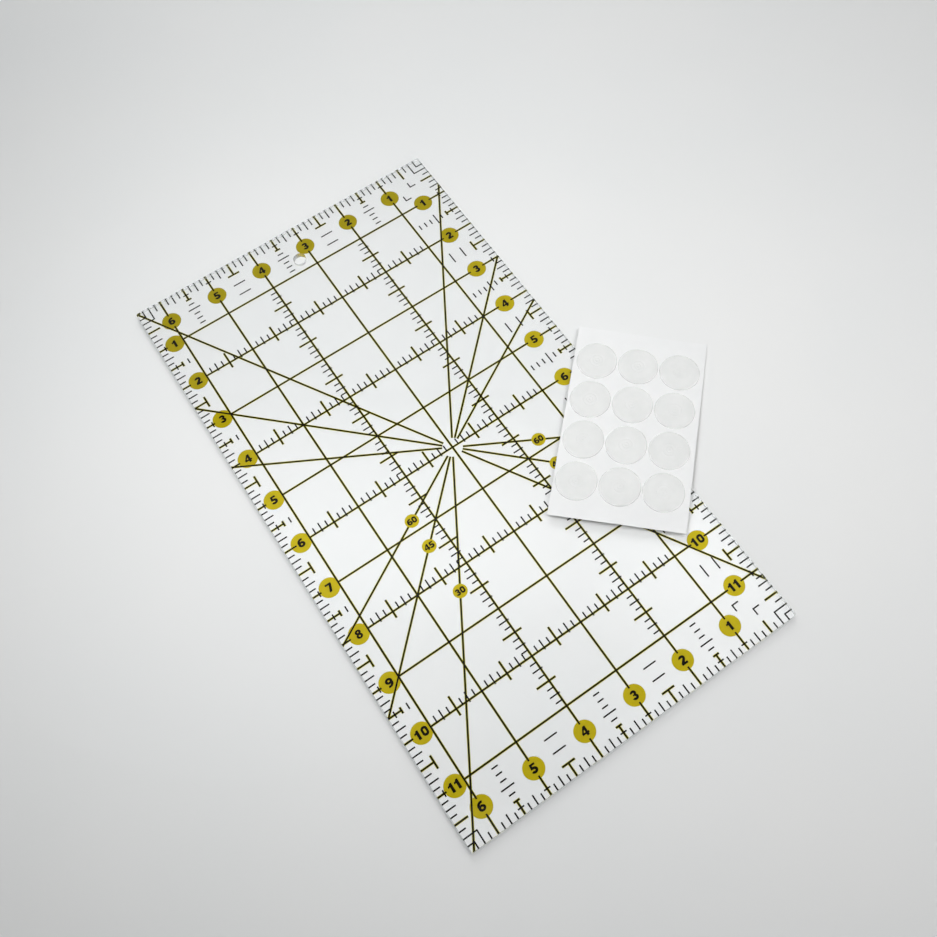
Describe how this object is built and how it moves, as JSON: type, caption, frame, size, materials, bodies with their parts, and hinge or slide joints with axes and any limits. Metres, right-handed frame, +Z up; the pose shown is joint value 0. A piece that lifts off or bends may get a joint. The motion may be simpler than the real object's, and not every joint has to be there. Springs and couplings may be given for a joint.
{
  "type": "quilting ruler",
  "caption": "Clear acrylic quilting ruler with an inch grid, edge scales and angle lines printed underneath, a hang hole, and a liner of peel-off non-slip grip discs.",
  "frame": {"origin": "middle of the plane that the printed underside rests on", "axes": "+X across the ruler towards the edge that the column numbers count from, +Y along it with the numerals upright, towards the hang hole, +Z up out of the plain top face"},
  "size_m": [0.2182, 0.3048, 0.0039],
  "materials": {
    "clear_acrylic": "polished",
    "yellow_ink": "satin",
    "black_ink": "satin",
    "liner_paper": "satin",
    "grip_silicone": "satin"
  },
  "bodies": {
    "ruler": {"acrylic_plate": "clear_acrylic", "yellow_grid_bands": "yellow_ink", "yellow_angle_bands": "yellow_ink", "yellow_tick_bands": "yellow_ink", "yellow_number_dots": "yellow_ink", "yellow_angle_dots": "yellow_ink", "black_grid_lines": "black_ink", "black_angle_lines": "black_ink", "black_half_inch_ticks": "black_ink", "black_edge_ticks": "black_ink", "black_inner_ticks": "black_ink", "black_corner_marks": "black_ink", "black_inch_numerals": "black_ink", "black_angle_numerals": "black_ink"},
    "grip_liner": {"release_liner": "liner_paper"},
    "grip_01": {"grip_disc_01": "grip_silicone"},
    "grip_02": {"grip_disc_02": "grip_silicone"},
    "grip_03": {"grip_disc_03": "grip_silicone"},
    "grip_04": {"grip_disc_04": "grip_silicone"},
    "grip_05": {"grip_disc_05": "grip_silicone"},
    "grip_06": {"grip_disc_06": "grip_silicone"},
    "grip_07": {"grip_disc_07": "grip_silicone"},
    "grip_08": {"grip_disc_08": "grip_silicone"},
    "grip_09": {"grip_disc_09": "grip_silicone"},
    "grip_10": {"grip_disc_10": "grip_silicone"},
    "grip_11": {"grip_disc_11": "grip_silicone"},
    "grip_12": {"grip_disc_12": "grip_silicone"}
  },
  "joints": [
    {"name": "liner_lift", "type": "slide", "parent": "ruler", "child": "grip_liner", "axis": [0, 0, 1], "range_m": [0, 0.05]},
    {"name": "grip_01_peel", "type": "slide", "parent": "grip_liner", "child": "grip_01", "axis": [0, 0, 1], "range_m": [0, 0.03]},
    {"name": "grip_02_peel", "type": "slide", "parent": "grip_liner", "child": "grip_02", "axis": [0, 0, 1], "range_m": [0, 0.03]},
    {"name": "grip_03_peel", "type": "slide", "parent": "grip_liner", "child": "grip_03", "axis": [0, 0, 1], "range_m": [0, 0.03]},
    {"name": "grip_04_peel", "type": "slide", "parent": "grip_liner", "child": "grip_04", "axis": [0, 0, 1], "range_m": [0, 0.03]},
    {"name": "grip_05_peel", "type": "slide", "parent": "grip_liner", "child": "grip_05", "axis": [0, 0, 1], "range_m": [0, 0.03]},
    {"name": "grip_06_peel", "type": "slide", "parent": "grip_liner", "child": "grip_06", "axis": [0, 0, 1], "range_m": [0, 0.03]},
    {"name": "grip_07_peel", "type": "slide", "parent": "grip_liner", "child": "grip_07", "axis": [0, 0, 1], "range_m": [0, 0.03]},
    {"name": "grip_08_peel", "type": "slide", "parent": "grip_liner", "child": "grip_08", "axis": [0, 0, 1], "range_m": [0, 0.03]},
    {"name": "grip_09_peel", "type": "slide", "parent": "grip_liner", "child": "grip_09", "axis": [0, 0, 1], "range_m": [0, 0.03]},
    {"name": "grip_10_peel", "type": "slide", "parent": "grip_liner", "child": "grip_10", "axis": [0, 0, 1], "range_m": [0, 0.03]},
    {"name": "grip_11_peel", "type": "slide", "parent": "grip_liner", "child": "grip_11", "axis": [0, 0, 1], "range_m": [0, 0.03]},
    {"name": "grip_12_peel", "type": "slide", "parent": "grip_liner", "child": "grip_12", "axis": [0, 0, 1], "range_m": [0, 0.03]}
  ]
}
